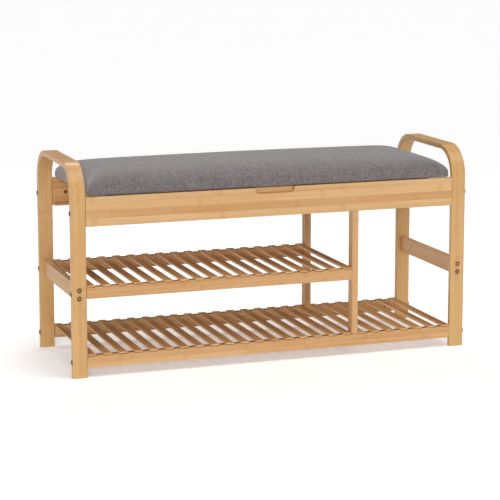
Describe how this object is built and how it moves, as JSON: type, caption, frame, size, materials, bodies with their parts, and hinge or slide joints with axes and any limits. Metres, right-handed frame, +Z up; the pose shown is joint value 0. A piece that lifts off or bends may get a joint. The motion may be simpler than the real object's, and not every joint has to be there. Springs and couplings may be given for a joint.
{
  "type": "entryway bench",
  "caption": "Bamboo entryway bench: bentwood armrest arches, hinged padded seat over a storage tray, and slatted shoe shelves with a bag bay.",
  "frame": {"origin": "on the floor, under the middle of the bench", "axes": "+X along the bench towards its right end as seen from the front, -Y to the front, +Z up"},
  "size_m": [1.0042, 0.3442, 0.502],
  "materials": {
    "bamboo_frame": "satin lacquered bamboo",
    "bamboo_slat": "satin lacquered bamboo",
    "tray_panel": "thin bamboo panel, matt lacquer",
    "seat_fabric": "grey melange plain weave",
    "bolt_metal": "dark bronzed steel",
    "hinge_steel": "zinc plated steel"
  },
  "bodies": {
    "frame": {"apron_bolt_left_back": "bolt_metal", "apron_bolt_left_front": "bolt_metal", "apron_bolt_right_back": "bolt_metal", "apron_bolt_right_front": "bolt_metal", "arch_left": "bamboo_frame", "arch_right": "bamboo_frame", "back_apron": "bamboo_frame", "back_cleat": "tray_panel", "divider_post_back": "bamboo_frame", "divider_post_front": "bamboo_frame", "front_apron": "bamboo_frame", "front_cleat": "tray_panel", "hinge_leaf_fixed_left": "hinge_steel", "hinge_leaf_fixed_right": "hinge_steel", "hinge_pin_left": "hinge_steel", "hinge_pin_right": "hinge_steel", "lower_rail_bolt_left_back": "bolt_metal", "lower_rail_bolt_left_front": "bolt_metal", "lower_rail_bolt_right_back": "bolt_metal", "lower_rail_bolt_right_front": "bolt_metal", "lower_shelf": "bamboo_slat", "side_rail_bolt_left_back_lower": "bolt_metal", "side_rail_bolt_left_back_upper": "bolt_metal", "side_rail_bolt_left_front_lower": "bolt_metal", "side_rail_bolt_left_front_upper": "bolt_metal", "side_rail_bolt_right_back_lower": "bolt_metal", "side_rail_bolt_right_back_upper": "bolt_metal", "side_rail_bolt_right_front_lower": "bolt_metal", "side_rail_bolt_right_front_upper": "bolt_metal", "side_rail_left": "bamboo_frame", "side_rail_right": "bamboo_frame", "tray_end_left": "tray_panel", "tray_end_right": "tray_panel", "tray_floor": "tray_panel", "upper_rail_back": "bamboo_frame", "upper_rail_bolt_left_back": "bolt_metal", "upper_rail_bolt_left_front": "bolt_metal", "upper_rail_front": "bamboo_frame", "upper_slat_01": "bamboo_slat", "upper_slat_02": "bamboo_slat", "upper_slat_03": "bamboo_slat", "upper_slat_04": "bamboo_slat", "upper_slat_05": "bamboo_slat", "upper_slat_06": "bamboo_slat", "upper_slat_07": "bamboo_slat", "upper_slat_08": "bamboo_slat", "upper_slat_09": "bamboo_slat", "upper_slat_10": "bamboo_slat", "upper_slat_11": "bamboo_slat", "upper_slat_12": "bamboo_slat", "upper_slat_13": "bamboo_slat", "upper_slat_14": "bamboo_slat", "upper_slat_15": "bamboo_slat", "upper_slat_16": "bamboo_slat", "upper_slat_17": "bamboo_slat", "upper_slat_18": "bamboo_slat"},
    "lid": {"hinge_leaf_lid_left": "hinge_steel", "hinge_leaf_lid_right": "hinge_steel", "lid_board": "tray_panel", "seat_cushion": "seat_fabric"}
  },
  "joints": [
    {"name": "lid_hinge", "type": "hinge", "parent": "frame", "child": "lid", "pos_m": [0, 0.1665, 0.4266], "axis": [-1, 0, 0], "range_deg": [0, 95]}
  ]
}
